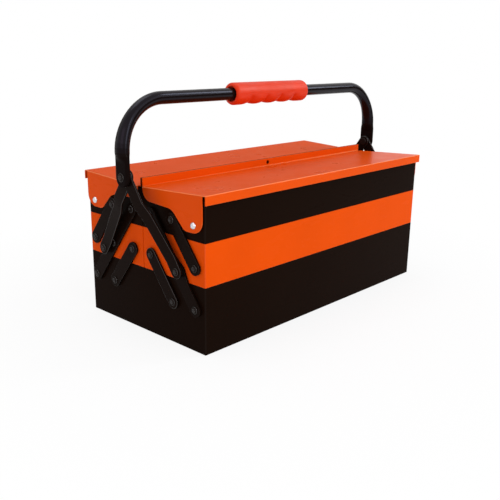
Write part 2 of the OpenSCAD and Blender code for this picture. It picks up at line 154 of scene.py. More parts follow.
class ToolBoxStage(bpy.types.PropertyGroup):
    camera_place: FloatVectorProperty(
        name="Camera", description="Place of the camera", default=(-0.6488, -0.5796, 0.3089),
        size=3, subtype="TRANSLATION", unit="LENGTH",
    )
    heading: turn("Heading", "Turn of the camera", -46.94)
    tilt: turn("Tilt", "Camera's tilt down", 16.4)
    roll: turn("Roll", "Camera's roll", 0.77)
    lens: FloatProperty(
        name="Lens", description="Focal length in mm", default=49.416, min=10, max=200,
    )
    daylight: ratio("Daylight", "Strength of the even light", 0.5, high=3)


# ---------------------------------------------------------------- editing by hand

# Points nearer than the first are one, faces flatter than the second are joined,
# and folds sharper than the third are rounded
SAME_POINT = 0.004 * MM
SAME_PLANE = math.radians(0.4)
SHARP_FOLD = math.radians(35)
# Two places nearer than this count as the same when edges and faces are picked
SAME_PLACE = 0.05 * MM
# A modelled piece's ends and halves are joined within these distances
RING_MERGE = 0.001 * MM
MIRROR_MERGE = 0.02 * MM


def deselect_all():
    if bpy.context.object and bpy.context.object.mode != "OBJECT":
        bpy.ops.object.mode_set(mode="OBJECT")
    bpy.ops.object.select_all(action="DESELECT")


def pick_object(piece):
    deselect_all()
    piece.select_set(True)
    bpy.context.view_layer.objects.active = piece


def begin_edit(piece, select="EDGE"):
    pick_object(piece)
    bpy.ops.object.mode_set(mode="EDIT")
    bpy.ops.mesh.select_mode(type=select)
    bpy.ops.mesh.select_all(action="DESELECT")
    return bmesh.from_edit_mesh(piece.data)


def end_edit():
    bpy.ops.object.mode_set(mode="OBJECT")


def merged_copy(node, name, *finishes):
    """A copy of a CAD node with its loose triangles joined into whole faces."""
    piece = bpy.data.objects.new(name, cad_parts[node].data.copy())
    bpy.context.scene.collection.objects.link(piece)
    piece.data.materials.clear()
    for finish in finishes:
        piece.data.materials.append(finish_of(finish))
    begin_edit(piece, "VERT")
    bpy.ops.mesh.select_all(action="SELECT")
    bpy.ops.mesh.remove_doubles(threshold=SAME_POINT)
    bpy.ops.mesh.customdata_custom_splitnormals_clear()
    bpy.ops.mesh.select_all(action="SELECT")
    bpy.ops.mesh.dissolve_limited(angle_limit=SAME_PLANE)
    end_edit()
    return piece


def near(value, target, reach=SAME_PLACE):
    return abs(value - target) < reach


def fold_angle(edge):
    return abs(edge.calc_face_angle_signed(0.0)) if len(edge.link_faces) == 2 else 0.0


def round_edges(piece, wanted, radius, steps, finish=None):
    """Bevels the sharp edges for which wanted(its two ends) is true, in the finish of that name."""
    mesh = begin_edit(piece, "EDGE")
    found = 0
    for edge in mesh.edges:
        if fold_angle(edge) > SHARP_FOLD and wanted(edge.verts[0].co, edge.verts[1].co):
            edge.select_set(True)
            found += 1
    bmesh.update_edit_mesh(piece.data)
    if found:
        bpy.ops.mesh.bevel(
            offset=radius, offset_type="OFFSET", segments=steps, profile=0.5, affect="EDGES",
            clamp_overlap=True, material=piece.data.materials.find(finish) if finish else -1,
        )
    end_edit()
    if not found:
        raise RuntimeError(f"no edge of {piece.name} was found to round")


def paint_faces(piece, finish, wanted):
    """Gives the finish of that name to the faces for which wanted(middle, normal) is true."""
    mesh = begin_edit(piece, "FACE")
    for face in mesh.faces:
        if wanted(face.calc_center_median(), face.normal):
            face.select_set(True)
    bmesh.update_edit_mesh(piece.data)
    piece.active_material_index = piece.data.materials.find(finish)
    bpy.ops.object.material_slot_assign()
    end_edit()


def crossbar_ring(name, x, radius, sides):
    """An open ring round the crossbar's line, in edit mode and ready to be extruded."""
    deselect_all()
    bpy.ops.mesh.primitive_circle_add(
        vertices=sides, radius=radius, fill_type="NOTHING", location=(x, 0, CROSSBAR_Z),
        rotation=(0, QUARTER_TURN, 0),
    )
    piece = bpy.context.object
    piece.name = name
    bpy.ops.object.transform_apply(location=True, rotation=True, scale=True)
    begin_edit(piece, "EDGE")
    bpy.ops.mesh.select_all(action="SELECT")
    return piece


def turn_faces_outwards():
    bpy.ops.mesh.select_all(action="SELECT")
    bpy.ops.mesh.normals_make_consistent(inside=False)


def finish_piece(piece, body, node, smooth_below=32):
    """Smooths folds below that many degrees and puts the piece on its body, for the node."""
    pick_object(piece)
    bpy.ops.object.shade_smooth_by_angle(angle=math.radians(smooth_below))
    level = piece.modifiers.new("level faces", "WEIGHTED_NORMAL")
    level.keep_sharp = True
    level.weight = 100
    bpy.ops.object.modifier_apply(modifier=level.name)
    deselect_all()
    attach(piece, body)
    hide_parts(node)


# ---------------------------------------------------------------- finishes

# The values between which most of a noise lies, its upper half, and what only its peaks reach
MIDDLE = (0.3, 0.7)
UPPER = (0.4, 0.7)
PEAKS = (0.72, 0.80)
DUST_GREY = 0.45
DUST_SHARE = 0.12
# Least and greatest roughness, the first as shares of the enamel's own
SMEARED = (0.85, 1.2)
METAL_ROUGHNESS = (0.16, 0.3)
PLASTIC_ROUGHNESS = (0.38, 0.5)
# Brightness and greatest cover of the metal's tarnish
TARNISH_SHADE, TARNISH_COVER = 0.8, 0.5


class Finish:
    """A material's node tree, with short calls for its nodes."""

    def __init__(self, name):
        self.material = bpy.data.materials.new(name)
        self.material.use_nodes = True
        self.tree = self.material.node_tree
        self.shader = self.tree.nodes["Principled BSDF"]
        self.place = self.tree.nodes.new("ShaderNodeTexCoord").outputs["Object"]

    def link(self, source, target):
        self.tree.links.new(source, target)

    def drive(self, source, socket):
        """Links the source to the shader's socket of that name."""
        self.link(source, self.shader.inputs[socket])

    def set(self, **values):
        for name, value in values.items():
            self.shader.inputs[name.replace("_", " ")].default_value = value

    def noise(self, scale, detail=2.0, roughness=0.5, stretch=None):
        node = self.tree.nodes.new("ShaderNodeTexNoise")
        node.inputs["Scale"].default_value = scale
        node.inputs["Detail"].default_value = detail
        node.inputs["Roughness"].default_value = roughness
        place = self.place
        if stretch:
            mapping = self.tree.nodes.new("ShaderNodeMapping")
            mapping.inputs["Scale"].default_value = stretch
            self.link(place, mapping.inputs["Vector"])
            place = mapping.outputs["Vector"]
        self.link(place, node.inputs["Vector"])
        return node.outputs["Fac"]

    def span(self, value, source, target):
        """Maps the value from one range to another and holds it at the ends."""
        node = self.tree.nodes.new("ShaderNodeMapRange")
        for name, number in zip(("From Min", "From Max", "To Min", "To Max"), (*source, *target)):
            node.inputs[name].default_value = number
        self.link(value, node.inputs["Value"])
        return node.outputs["Result"]

    def blend(self, factor, first, second):
        """Mixes two colours, each a socket or a constant."""
        node = self.tree.nodes.new("ShaderNodeMix")
        node.data_type = "RGBA"
        self.link(factor, node.inputs["Factor"])
        for socket, colour in (("A", first), ("B", second)):
            target = [s for s in node.inputs if s.name == socket and s.type == "RGBA"][0]
            if isinstance(colour, bpy.types.NodeSocket):
                self.link(colour, target)
            else:
                target.default_value = (*colour, 1)
        return [s for s in node.outputs if s.type == "RGBA"][0]

    def clouds(self, colour, scale, darkest, lightest):
        """The colour in soft clouds, between those two factors."""
        cloud = self.span(self.noise(scale, detail=3), MIDDLE, (0, 1))
        return self.blend(cloud, shade(colour, darkest), shade(colour, lightest))

    def bump(self, height, strength, depth, under=None):
        node = self.tree.nodes.new("ShaderNodeBump")
        node.inputs["Strength"].default_value = strength
        node.inputs["Distance"].default_value = depth
        self.link(height, node.inputs["Height"])
        if under:
            self.link(under, node.inputs["Normal"])
        return node.outputs["Normal"]


def shade(colour, factor):
    return tuple(min(1.0, c * factor) for c in colour)


def dusty(colour):
    return tuple(c + (DUST_GREY - c) * DUST_SHARE for c in colour)


def enamel(name, colour, roughness, gloss, peel, wear):
    """Stoved enamel: even colour, slight waves and a little dust and rubbing."""
    finish = Finish(name)
    tone = finish.clouds(colour, scale=9, darkest=0.95, lightest=1.04)
    specks = finish.noise(scale=1500, detail=1)
    dust = finish.span(specks, PEAKS, (0, wear / 2))
    finish.drive(finish.blend(dust, tone, dusty(colour)), "Base Color")
    smear = finish.noise(scale=26, detail=4, roughness=0.6, stretch=(1, 1, 3))
    smeared = [roughness * share for share in SMEARED]
    finish.drive(finish.span(smear, MIDDLE, smeared), "Roughness")
    buckle = finish.bump(finish.noise(scale=7, detail=1), strength=0.25, depth=1.2 * MM)
    waves = finish.noise(scale=420, detail=1.5)
    finish.drive(finish.bump(waves, strength=peel, depth=0.4 * MM, under=buckle), "Normal")
    finish.set(Specular_IOR_Level=gloss)
    return finish.material


def bare_metal(name, colour):
    """Bright metal with fine scratches along it and a little tarnish."""
    finish = Finish(name)
    scratch = finish.noise(scale=900, detail=2, roughness=0.6, stretch=(1, 1, 0.2))
    finish.drive(finish.span(scratch, MIDDLE, METAL_ROUGHNESS), "Roughness")
    tarnish = finish.span(finish.noise(scale=350, detail=2), UPPER, (0, TARNISH_COVER))
    finish.drive(finish.blend(tarnish, colour, shade(colour, TARNISH_SHADE)), "Base Color")
    finish.set(Metallic=1.0)
    return finish.material


def soft_plastic(name, colour):
    """Dipped soft plastic: waxy, finely pitted, a little light passing through."""
    finish = Finish(name)
    finish.drive(finish.clouds(colour, scale=38, darkest=0.93, lightest=1.05), "Base Color")
    drape = finish.bump(finish.noise(scale=150, detail=2), strength=0.12, depth=0.6 * MM)
    pits = finish.noise(scale=1700, detail=2)
    finish.drive(finish.bump(pits, strength=0.12, depth=0.2 * MM, under=drape), "Normal")
    rubbed = finish.noise(scale=60, detail=3)
    finish.drive(finish.span(rubbed, MIDDLE, PLASTIC_ROUGHNESS), "Roughness")
    finish.set(Specular_IOR_Level=0.3, Subsurface_Weight=0.05, Subsurface_Scale=3 * MM)
    return finish.material


# Colour on the panel, roughness, gloss, and shares of the panel's peel and wear.
# Each enamel is smoother and shinier where it is drawn tight round a fold or a cut edge, and the
# orange is lighter there as a painted highlight;
# the tube's gets duller step by step towards the flat ends.
ENAMELS = {
    "lid_enamel": ("orange", 0.3, 0.045, 1.0, 0.35),
    "orange_enamel": ("orange", 0.26, 0.015, 1.0, 0.35),
    # Lighter orange: a painted highlight along the folds and cut edges
    "orange_fold": ("thin", 0.26, 0.2, 0.5, 0.0),
    "orange_corner": ("orange", 0.28, 0.12, 0.5, 0.0),
    "black_enamel": ("black", 0.3, 0.01, 1.0, 0.2),
    "black_fold": ("black", 0.26, 0.12, 0.5, 0.0),
    "black_corner": ("black", 0.28, 0.05, 0.5, 0.0),
    "link_enamel": ("steel", 0.26, 0.02, 1.6, 0.3),
    "link_fold": ("steel", 0.2, 0.5, 0.5, 0.0),
    "tube_enamel": ("tube", 0.18, 0.17, 0.7, 0.2),
    "tube_foot": ("tube", 0.2, 0.12, 0.7, 0.2),
    "tube_neck": ("tube", 0.22, 0.075, 0.8, 0.2),
    "tube_press": ("tube", 0.25, 0.035, 0.9, 0.2),
    "tube_flat": ("tube", 0.28, 0.014, 1.0, 0.2),
    "rivet_enamel": ("rivet", 0.24, 0.06, 0.7, 0.4),
    "rivet_fold": ("rivet", 0.14, 0.6, 0.5, 0.0),
    # Painted shade for the gap between the two lids
    "seam_enamel": ("seam", 0.5, 0.02, 1.0, 0.0),
}
# Finishes whose highlights get a painted cast, the colour of the light they reflect
CASTS = {
    "lid_enamel": "warm_painted_cast", "grip_plastic": "warm_painted_cast",
    "tube_enamel": "tube_painted_cast", "tube_foot": "tube_painted_cast", "tube_neck": "tube_painted_cast",
}


def finish_of(name):
    """The finish by that name, made once from the panel's colours."""
    if name in bpy.data.materials:
        return bpy.data.materials[name]
    paint = bpy.context.scene.tool_box_paint
    if name == "bright_metal":
        material = bare_metal(name, paint.bright)
    elif name == "grip_plastic":
        material = soft_plastic(name, paint.grip)
    else:
        colour, roughness, gloss, peel, wear = ENAMELS[name]
        material = enamel(
            name, getattr(paint, colour), roughness, gloss, paint.peel * peel, paint.wear * wear,
        )
    # Paints the colour of the reflected light into the finish's highlights
    if name in CASTS:
        shader = material.node_tree.nodes["Principled BSDF"]
        shader.inputs["Specular Tint"].default_value = (*getattr(paint, CASTS[name]), 1)
    return material


# ---------------------------------------------------------------- sheet steel

# Shortest upright fold of a tray
UPRIGHT_LENGTH = 5 * MM
# Segments round a cut edge of a lid, a link's edge and a rivet's head
CUT_STEPS, LINK_STEPS, RIVET_STEPS = 2, 3, 2


def fold_tray(node, body, colour):
    """Softens the folds, floor edges and rolled rim of one box or tray."""
    folds = bpy.context.scene.tool_box_folds
    low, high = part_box(node)
    seam_reach = (high.y - low.y) / 4
    has_seam = min(abs(low.y), abs(high.y)) < seam_reach
    fold, corner = f"{colour}_fold", f"{colour}_corner"
    piece = merged_copy(node, f"{node}_shell", f"{colour}_enamel", fold, corner)

    def on_outer_wall(p):
        return near(p.x, low.x) or near(p.x, high.x) or near(p.y, low.y) or near(p.y, high.y)

    def upright_corner(a, b, outer=True):
        ends = near(a.x, low.x) or near(a.x, high.x)
        sides = (near(a.y, low.y) or near(a.y, high.y)) and (abs(a.y) > seam_reach) == outer
        upright = near(a.x, b.x) and near(a.y, b.y) and abs(a.z - b.z) > UPRIGHT_LENGTH
        return ends and sides and upright

    def seam_corner(a, b):
        return upright_corner(a, b, outer=False)

    def floor_edge(a, b):
        return near(a.z, low.z) and near(b.z, low.z) and on_outer_wall(a) and on_outer_wall(b)

    def rim_edge(a, b):
        return near(a.z, high.z) and near(b.z, high.z)

    round_edges(piece, upright_corner, folds.corner, folds.steps, corner)
    if has_seam:
        round_edges(piece, seam_corner, folds.corner / 2, folds.steps)
    # On the orange trays the fold finish is the lighter orange, a painted highlight along the floor
    # edges and rims
    round_edges(piece, floor_edge, folds.bottom, folds.steps, fold)
    round_edges(piece, rim_edge, folds.rim, folds.steps, fold)
    finish_piece(piece, body, node)


class TOOLBOX_OT_trays(bpy.types.Operator):
    """Fold the bottom box and the four trays and paint them"""

    bl_idname = "tool_box.trays"
    bl_label = "Box and trays"

    def execute(self, context):
        fold_tray("bottom_box", "base", "black")
        for side in SIDES:
            fold_tray(f"{side}_middle_tray", f"{side}_middle_tray", "orange")
            fold_tray(f"{side}_top_tray", f"{side}_top_tray", "black")
        return {"FINISHED"}


# The flange's foot is at most this far under the lid's top
LID_FALL_LIMIT = 8 * MM
# Cut edges lie this far below the flange's foot, or this near the flange's upper edge
UNDER_FOOT = 0.3 * MM
UPPER_EDGE = 1 * MM
# The padlock hole's wall lies within these distances of the middle of the flange
HOLE_REACH_X, HOLE_REACH_Y = 10 * MM, 0.3 * MM
# A face looks along Y above the first of these parts of its normal, and across Y below the second
ALONG_Y, ACROSS_Y = 0.9, 0.2


def fold_lid(side):
    """Softens one lid's folds, crease and cut edges, and paints shade on what faces the other lid.
    """
    folds = bpy.context.scene.tool_box_folds
    node = f"{side}_lid"
    low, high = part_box(node)
    outer_y, inner_y = (low.y, high.y) if side == "front" else (high.y, low.y)
    piece = merged_copy(node, f"{node}_shell", "lid_enamel", "orange_fold", "seam_enamel")
    points = [v.co for v in piece.data.vertices]
    top_z = max(p.z for p in points if near(p.y, outer_y))
    rim_ys = [p.y for p in points if near(p.z, high.z) and not near(p.y, inner_y)]
    flange_y = min(rim_ys, key=lambda y: abs(y - inner_y))
    foot_z = min(p.z for p in points if near(p.y, flange_y) and p.z > top_z - LID_FALL_LIMIT)

    def on_top(p):
        share = (p.y - flange_y) / (outer_y - flange_y)
        return near(p.z, foot_z + (top_z - foot_z) * share)

    def top_fold(a, b):
        along_skirt = near(a.y, outer_y) and near(b.y, outer_y)
        along_flap = near(a.x, b.x) and (near(a.x, low.x) or near(a.x, high.x))
        return on_top(a) and on_top(b) and (along_skirt or along_flap)

    def flange_foot(a, b):
        return all(near(p.z, foot_z) and near(p.y, flange_y) for p in (a, b))

    def cut_edge(a, b):
        return max(a.z, b.z) < foot_z - UNDER_FOOT or min(a.z, b.z) > high.z - UPPER_EDGE

    def faces_other_lid(middle, normal):
        flange = near(middle.y, inner_y) and abs(normal.y) > ALONG_Y
        in_sheet = near(middle.y, (inner_y + flange_y) / 2, HOLE_REACH_Y)
        hole_wall = (
            in_sheet and abs(middle.x) < HOLE_REACH_X and abs(normal.y) < ACROSS_Y
            and middle.z < high.z - UPPER_EDGE
        )
        return middle.z > foot_z and (flange or hole_wall)

    # The lighter orange fold finish paints a highlight along the folds, the crease and the cut
    # edges
    round_edges(piece, top_fold, folds.lid, folds.steps, "orange_fold")
    round_edges(piece, flange_foot, folds.crease, folds.steps, "orange_fold")
    round_edges(piece, cut_edge, folds.edge, CUT_STEPS, "orange_fold")
    # Painted shade: the flange face towards the other lid and the padlock hole's wall take the dark
    # seam enamel
    paint_faces(piece, "seam_enamel", faces_other_lid)
    finish_piece(piece, node, node)


class TOOLBOX_OT_lids(bpy.types.Operator):
    """Fold the two lids, with their flaps, skirts and standing flanges"""

    bl_idname = "tool_box.lids"
    bl_label = "Lids"

    def execute(self, context):
        for side in SIDES:
            fold_lid(side)
        return {"FINISHED"}


# ---------------------------------------------------------------- links and rivets

RIVET_BODIES = {
    "box_rivets": "base",
    "front_middle_tray_rivets": "front_middle_tray",
    "rear_middle_tray_rivets": "rear_middle_tray",
    "front_top_tray_rivets": "front_top_tray",
    "rear_top_tray_rivets": "rear_top_tray",
    "front_link_studs": "front_main_links",
    "rear_link_studs": "rear_main_links",
    "front_handle_link_rivets": "front_handle_links",
    "rear_handle_link_rivets": "rear_handle_links",
    "handle_rivets": "handle",
}


def any_edge(a, b):
    return True


class TOOLBOX_OT_links(bpy.types.Operator):
    """Round the links' edges and paint them"""

    bl_idname = "tool_box.links"
    bl_label = "Links"

    def execute(self, context):
        folds = context.scene.tool_box_folds
        for side in SIDES:
            for kind in ("main", "lower", "upper", "handle"):
                for end in ENDS:
                    node = f"{side}_{end}_{kind}_link"
                    piece = merged_copy(node, f"{node}_bar", "link_enamel", "link_fold")
                    round_edges(piece, any_edge, folds.link, LINK_STEPS, "link_fold")
                    finish_piece(piece, f"{side}_{kind}_links", node)
        return {"FINISHED"}


class TOOLBOX_OT_rivets(bpy.types.Operator):
    """Round the rivets' heads, black on the links and bright on the lids"""

    bl_idname = "tool_box.rivets"
    bl_label = "Rivets"

    def execute(self, context):
        folds = context.scene.tool_box_folds
        for node, body in RIVET_BODIES.items():
            piece = merged_copy(node, f"{node}_set", "rivet_enamel", "rivet_fold")
            round_edges(piece, any_edge, folds.rivet, RIVET_STEPS, "rivet_fold")
            finish_piece(piece, body, node)
        for side in SIDES:
            node = f"{side}_lid_rivets"
            piece = merged_copy(node, f"{node}_set", "bright_metal")
            finish_piece(piece, f"{side}_top_tray", node)
        return {"FINISHED"}


# ---------------------------------------------------------------- handle

CROSSBAR_STEPS = 6
BEND_STEPS = 18
NECK_STEPS = 14
TIP_STEPS = 10
# The last of the tip's rings lies at this angle round the flat end's arc
TIP_ANGLE = math.radians(84)
# Distance from the rivet up to the last ring before it
RIVET_RING = 3 * MM
# Each new ring of the leg starts this far down, before it gets its shape
RING_START = 0.1 * MM
# The tube's duller finishes, each from that share of the way from the bend's foot to the flat end
TUBE_BANDS = (("tube_foot", -0.7), ("tube_neck", -0.3), ("tube_press", 0.0), ("tube_flat", 0.3))


def smooth_step(t):
    t = min(1.0, max(0.0, t))
    return t * t * (3 - 2 * t)


def flat_point(angle, width, thickness):
    """The point as far round a flat section with round edges as the angle is round a circle."""
    radius = thickness / 2
    reach = width / 2 - radius
    around = math.pi * radius
    length = 4 * reach + 2 * around
    along = (angle / math.tau) % 1 * length
    if along < reach:
        return radius, along
    along -= reach
    if along < around:
        return radius * math.cos(along / radius), reach + radius * math.sin(along / radius)
    along -= around
    if along < 2 * reach:
        return -radius, reach - along
    along -= 2 * reach
    if along < around:
        return -radius * math.cos(along / radius), -reach - radius * math.sin(along / radius)
    return radius, along - around - reach


def neck_heights(handle):
    """Heights of the bend's foot and of the start of the flat end."""
    return CROSSBAR_Z - handle.bend, HANDLE_PIVOT_Z + handle.flat_above


def leg_rings(handle):
    """Height, thinness, wideness and share of the full width of each ring down one leg."""
    bend_z, flat_z = neck_heights(handle)
    rings = []
    for i in range(1, NECK_STEPS + 1):
        t = i / NECK_STEPS
        wide = smooth_step(t * handle.early_width)
        rings.append((bend_z + (flat_z - bend_z) * t, smooth_step(t), wide, 1.0))
    rings.append((HANDLE_PIVOT_Z + RIVET_RING, 1.0, 1.0, 1.0))
    rings.append((HANDLE_PIVOT_Z, 1.0, 1.0, 1.0))
    for i in range(1, TIP_STEPS):
        angle = TIP_ANGLE * i / (TIP_STEPS - 1)
        drop = handle.flat_width / 2 * math.sin(angle)
        rings.append((HANDLE_PIVOT_Z - drop, 1.0, 1.0, math.cos(angle)))
    return rings


def half_tube(handle):
    """Half of the tube, from the middle of the crossbar to one flat end."""
    radius = handle.tube / 2
    leg_x = TUBE_END_X - radius
    bend_x = leg_x - handle.bend
    bend_z = neck_heights(handle)[0]
    piece = crossbar_ring("handle_tube_bar", 0, radius, handle.sides)
    for _ in range(CROSSBAR_STEPS):
        step = (bend_x / CROSSBAR_STEPS, 0, 0)
        bpy.ops.mesh.extrude_region_move(TRANSFORM_OT_translate={"value": step})
    bpy.ops.mesh.spin(
        steps=BEND_STEPS, angle=-QUARTER_TURN, center=(bend_x, 0, bend_z), axis=(0, 1, 0),
    )
    mesh = bmesh.from_edit_mesh(piece.data)
    ring = [v for v in mesh.verts if v.select]
    if len(ring) != handle.sides or any(v.co.x < bend_x for v in ring):
        raise RuntimeError("the bend of the handle didn't end where its leg starts")
    for v in mesh.verts:
        if v.co.x > bend_x:
            turned = math.atan2(v.co.x - bend_x, v.co.z - bend_z) / QUARTER_TURN
            past = (turned - handle.swell_from) / (1 - handle.swell_from)
            v.co.y *= 1 + handle.swell * smooth_step(past)
    angles = [
        (v.co.xy.copy(), math.atan2(v.co.y / (1 + handle.swell), v.co.x - leg_x)) for v in ring
    ]
    for z, thin, wide, share in leg_rings(handle):
        bpy.ops.mesh.extrude_region_move(TRANSFORM_OT_translate={"value": (0, 0, -RING_START)})
        mesh = bmesh.from_edit_mesh(piece.data)
        placed = []
        for v in [v for v in mesh.verts if v.select]:
            angle = min(angles, key=lambda known: (known[0] - v.co.xy).length)[1]
            flat_x, flat_y = flat_point(angle, handle.flat_width, handle.flat_thickness)
            round_x = radius * math.cos(angle)
            round_y = radius * math.sin(angle)
            v.co.x = leg_x + round_x + (flat_x - round_x) * thin
            v.co.y = (round_y * (1 + handle.swell * (1 - wide)) + (flat_y - round_y) * wide) * share
            v.co.z = z
            placed.append((v.co.xy.copy(), angle))
        bmesh.update_edit_mesh(piece.data)
        angles = placed
    bpy.ops.mesh.edge_face_add()
    end_edit()
    return piece


class TOOLBOX_OT_handle(bpy.types.Operator):
    """Bend the handle's tube and flatten its ends"""

    bl_idname = "tool_box.handle"
    bl_label = "Handle"

    def execute(self, context):
        handle = context.scene.tool_box_handle
        piece = half_tube(handle)
        mirror = piece.modifiers.new("other half", "MIRROR")
        mirror.use_axis = (True, False, False)
        mirror.merge_threshold = MIRROR_MERGE
        pick_object(piece)
        bpy.ops.object.modifier_apply(modifier=mirror.name)
        begin_edit(piece, "FACE")
        turn_faces_outwards()
        end_edit()
        piece.data.materials.append(finish_of("tube_enamel"))
        bend_z, flat_z = neck_heights(handle)
        for finish, share in TUBE_BANDS:
            piece.data.materials.append(finish_of(finish))
            band_z = bend_z + (flat_z - bend_z) * share
            paint_faces(piece, finish, lambda middle, normal: middle.z < band_z)
        finish_piece(piece, "handle", "handle_tube", smooth_below=50)
        return {"FINISHED"}


# ---------------------------------------------------------------- grip

# Play between the grip's bore and the tube
BORE_GAP = 0.05 * MM
MOUTH_CHAMFER = 0.8 * MM
# Plastic that the creases leave round the mouth
CORE_WALL = 1 * MM
BODY_STEPS = 130
# Angles of the rings round the grip's ends, in degrees
END_ANGLES = range(0, 91, 15)
# The creases start this far above the grip's middle and are full this much lower,
# as shares of its radius
CREASE_START, CREASE_SPAN = 0.1, 0.6


def grip_profile(grip):
    """Places along the grip and radii, from the bore at one end to the bore at the other."""
    half = (GRIP_HIGH.x - GRIP_LOW.x) / 2
    radius = (GRIP_HIGH.y - GRIP_LOW.y) / 2
    mouth = grip.mouth / 2
    inner = [
        (-half + grip.mouth_depth, bpy.context.scene.tool_box_handle.tube / 2 + BORE_GAP),
        (-half + grip.mouth_depth, mouth),
        (-half + MOUTH_CHAMFER, mouth),
        (-half, mouth + MOUTH_CHAMFER),
    ]
    rounding = [
        (-half + grip.round_end * (1 - math.cos(math.radians(a))),
         radius - grip.round_end * (1 - math.sin(math.radians(a))))
        for a in END_ANGLES
    ]
    left = inner + rounding
    start = -half + grip.round_end
    body = [(start - 2 * start * i / BODY_STEPS, radius) for i in range(1, BODY_STEPS)]
    right = [(-x, r) for x, r in reversed(left)]
    return left + body + right


def press_fingers(piece, grip):
    """Presses the creases between the finger lobes into the underside."""
    half = (GRIP_HIGH.x - GRIP_LOW.x) / 2
    core = grip.mouth / 2 + CORE_WALL
    for v in piece.data.vertices:
        reach = math.hypot(v.co.y, v.co.z - CROSSBAR_Z)
        if reach < core:
            continue
        lobe = (v.co.x + half) / (2 * half) * grip.lobes
        nearest = min(grip.lobes - 1, max(1, round(lobe)))
        closeness = max(0.0, 1 - 2 * abs(lobe - nearest))
        down = (CROSSBAR_Z - v.co.z) / reach
        under = smooth_step((down + CREASE_START) / CREASE_SPAN)
        press = min(grip.depth * closeness ** grip.sharpness * under, reach - core)
        v.co.y -= v.co.y / reach * press
        v.co.z += down * press


class TOOLBOX_OT_grip(bpy.types.Operator):
    """Turn the soft grip and press its finger hollows"""

    bl_idname = "tool_box.grip"
    bl_label = "Grip"

    def execute(self, context):
        grip = context.scene.tool_box_grip
        profile = grip_profile(grip)
        x, r = profile[0]
        piece = crossbar_ring("grip_sleeve", x, r, grip.sides)
        for next_x, next_r in profile[1:]:
            bpy.ops.mesh.extrude_region_move(TRANSFORM_OT_translate={"value": (next_x - x, 0, 0)})
            bpy.ops.transform.resize(
                value=(1, next_r / r, next_r / r), center_override=(next_x, 0, CROSSBAR_Z),
            )
            x, r = next_x, next_r
        bpy.ops.mesh.select_all(action="SELECT")
        bpy.ops.mesh.remove_doubles(threshold=RING_MERGE)
        end_edit()
        mesh = begin_edit(piece, "EDGE")
        for edge in mesh.edges:
            if len(edge.link_faces) == 1:
                edge.select_set(True)
        bmesh.update_edit_mesh(piece.data)
        bpy.ops.mesh.bridge_edge_loops()
        turn_faces_outwards()
        end_edit()
        press_fingers(piece, grip)
        piece.data.materials.append(finish_of("grip_plastic"))
        finish_piece(piece, "handle", "handle_grip", smooth_below=60)
        return {"FINISHED"}


# ---------------------------------------------------------------- stage

LAMP_TARGET = (0, 0, 0.12)
# Name, place, width and height, watts and colour of each lamp
LAMPS = (
    ("front_softbox", (0.5, -2.4, 1.2), (3.0, 2.0), 15, WHITE),
    ("end_softbox", (-2.2, -0.5, 0.9), (1.4, 1.4), 6.6, (1, 0.64, 0.74)),
    ("right_softbox", (1.9, -1.2, 1.65), (0.5, 1.5), 20, (0.86, 0.91, 1)),
    ("top_softbox", (-0.2, 0.5, 2.4), (1.4, 1.4), 14, WHITE),
    ("strip", (-0.33, -1.25, 0.5), (0.25, 0.9), 3, WHITE),
)
# Name, place, width and height, turn in degrees and colour of each card
CARDS = (
    ("rear_card", (0.6, 1.9, 0.55), (3.5, 1.3), -18, (0.29, 0.28, 0.23)),
    ("right_card", (1.5, -1.35, 0.42), (2.6, 0.95), 48, (0.05, 0.05, 0.05)),
)
FLOOR_SIZE = 30
FLOOR_GAP = 0.2 * MM
FLOOR_GREY = (0.9, 0.9, 0.9)
# The floor turns white between these distances from the box's middle, from one share to the other
FLOOR_FADE = (0.15, 0.5)
FLOOR_WHITENESS = (0.85, 1.0)
SENSOR_WIDTH = 36


def area_lamp(name, place, size, power, colour):
    """A rectangular lamp that shines at the box and isn't seen itself."""
    lamp = bpy.data.lights.new(name, "AREA")
    lamp.shape = "RECTANGLE"
    lamp.size, lamp.size_y = size
    lamp.energy = power
    lamp.color = colour
    holder = bpy.data.objects.new(name, lamp)
    holder.location = place
    towards = Vector(LAMP_TARGET) - Vector(place)
    holder.rotation_euler = towards.to_track_quat("-Z", "Y").to_euler()
    holder.visible_camera = False
    bpy.context.scene.collection.objects.link(holder)


def reflection_card(name, place, size, degrees, colour):
    """An upright card that only glossy surfaces see."""
    deselect_all()
    bpy.ops.mesh.primitive_plane_add(
        size=1, location=place, rotation=(QUARTER_TURN, 0, math.radians(degrees)),
    )
    card = bpy.context.object
    card.name = name
    card.scale = (*size, 1)
    material = bpy.data.materials.new(f"{name}_paint")
    material.use_nodes = True
    shader = material.node_tree.nodes["Principled BSDF"]
    shader.inputs["Base Color"].default_value = (*colour, 1)
    card.data.materials.append(material)
    for rays in ("camera", "diffuse", "transmission", "shadow", "volume_scatter"):
        setattr(card, f"visible_{rays}", False)


def direct_look(tree):
    """1 for rays from the camera, straight or by way of gloss and glass."""
    rays = tree.nodes.new("ShaderNodeLightPath")
    total = rays.outputs["Is Camera Ray"]
    for kind in ("Is Glossy Ray", "Is Transmission Ray"):
        larger = tree.nodes.new("ShaderNodeMath")
        larger.operation = "MAXIMUM"
        tree.links.new(total, larger.inputs[0])
        tree.links.new(rays.outputs[kind], larger.inputs[1])
        total = larger.outputs["Value"]
    return total


def mix_shaders(tree, factor, first, second):
    mix = tree.nodes.new("ShaderNodeMixShader")
    tree.links.new(factor, mix.inputs["Fac"])
    tree.links.new(first, mix.inputs[1])
    tree.links.new(second, mix.inputs[2])
    return mix.outputs["Shader"]


def plain_sky(tree, strength):
    sky = tree.nodes.new("ShaderNodeBackground")
    sky.inputs["Color"].default_value = (*WHITE, 1)
    sky.inputs["Strength"].default_value = strength
    return sky.outputs["Background"]


